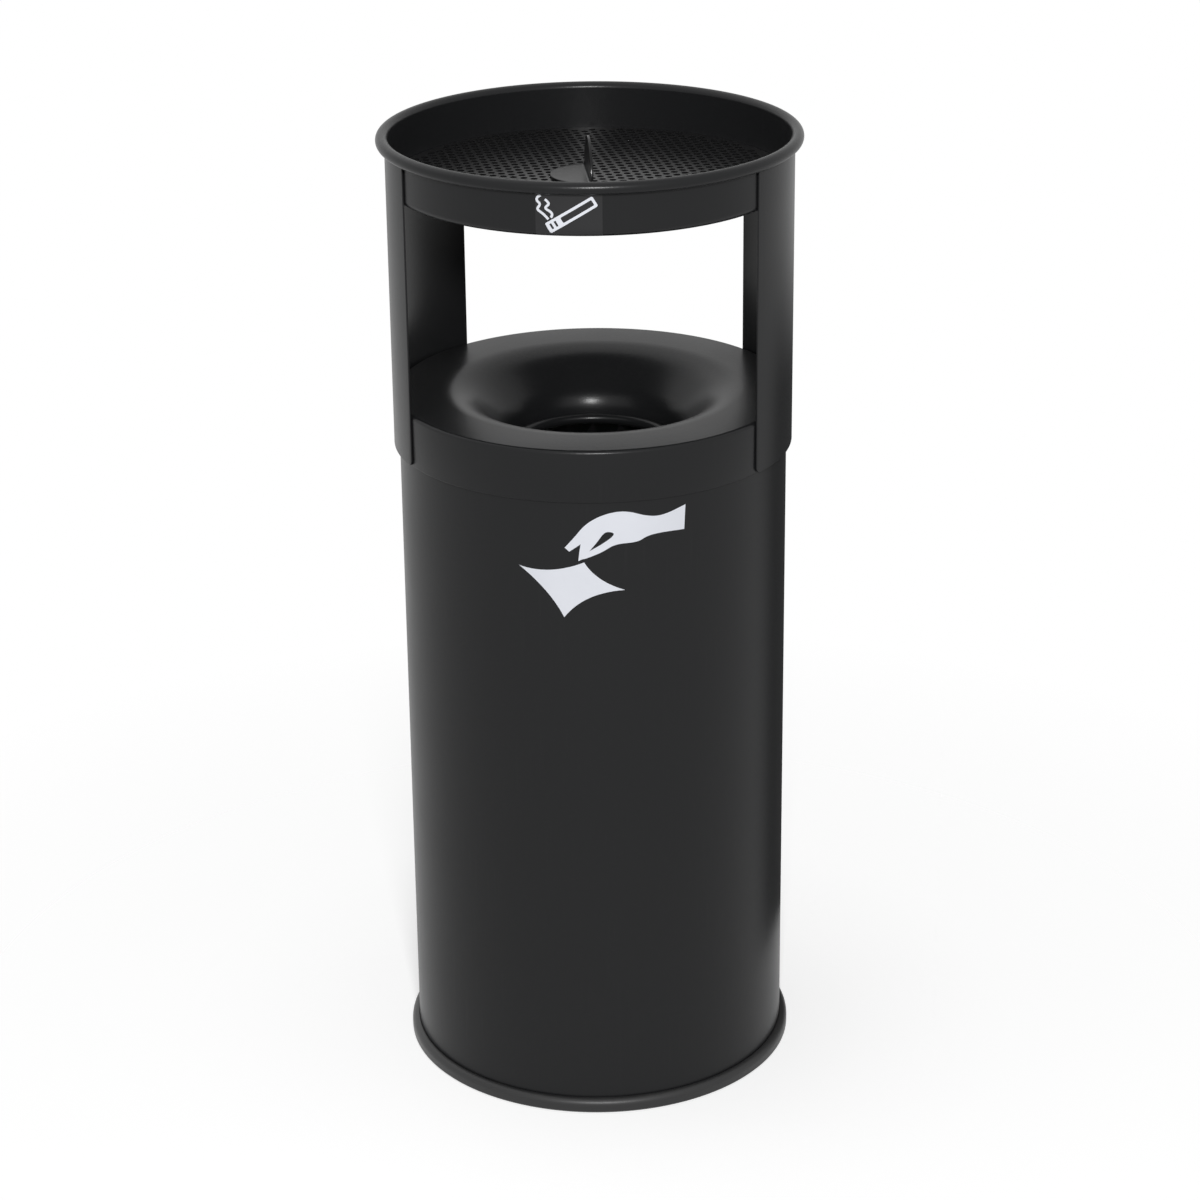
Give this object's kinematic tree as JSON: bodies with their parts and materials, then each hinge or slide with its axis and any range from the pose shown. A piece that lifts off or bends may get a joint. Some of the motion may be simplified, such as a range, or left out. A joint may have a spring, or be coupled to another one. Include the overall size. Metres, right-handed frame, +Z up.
{
  "type": "ashtray bin",
  "caption": "Round free-standing litter bin with a funnel lid and, on two curved uprights above it, an ash pan with a lift-out perforated plate; the head lifts off an inner bucket.",
  "frame": {"origin": "on the floor, under the middle of the bin", "axes": "+Z up; -Y is the front, the middle of the wider opening between the uprights; +X is to the right as seen from the front"},
  "size_m": [0.3238, 0.3238, 0.7625],
  "materials": {
    "black_paint": "satin black powder coat",
    "plate_paint": "semi-gloss black paint",
    "ring_plastic": "satin black moulded plastic",
    "zinc_sheet": "galvanised with a faint spangle",
    "wire_steel": "bright zinc plated"
  },
  "bodies": {
    "body": {"body_shell": "black_paint", "body_floor": "black_paint", "base_ring": "ring_plastic"},
    "head": {"lid_cover": "black_paint", "upright_left": "black_paint", "upright_right": "black_paint", "ash_pan": "black_paint"},
    "grid": {"grid_plate": "plate_paint", "lifting_tab": "plate_paint"},
    "liner": {"liner_wall": "zinc_sheet", "liner_floor": "zinc_sheet", "liner_ear_left": "zinc_sheet", "liner_ear_right": "zinc_sheet", "ear_rivets": "wire_steel"},
    "bail": {"liner_bail": "wire_steel"}
  },
  "joints": [
    {"name": "head_lift", "type": "slide", "parent": "body", "child": "head", "axis": [0, 0, 1], "range_m": [0, 0.75]},
    {"name": "grid_lift", "type": "slide", "parent": "head", "child": "grid", "axis": [0, 0, 1], "range_m": [0, 0.12]},
    {"name": "liner_lift", "type": "slide", "parent": "body", "child": "liner", "axis": [0, 0, 1], "range_m": [0, 0.545]},
    {"name": "bail_swing", "type": "hinge", "parent": "liner", "child": "bail", "pos_m": [0, 0, 0.48566], "axis": [1, 0, 0], "range_deg": [0, 90]}
  ],
  "couplings": [
    {"joint": "liner_lift", "follows": "head_lift", "ratio": 0.72},
    {"joint": "bail_swing", "follows": "head_lift", "rad_per_m": 2.094}
  ]
}
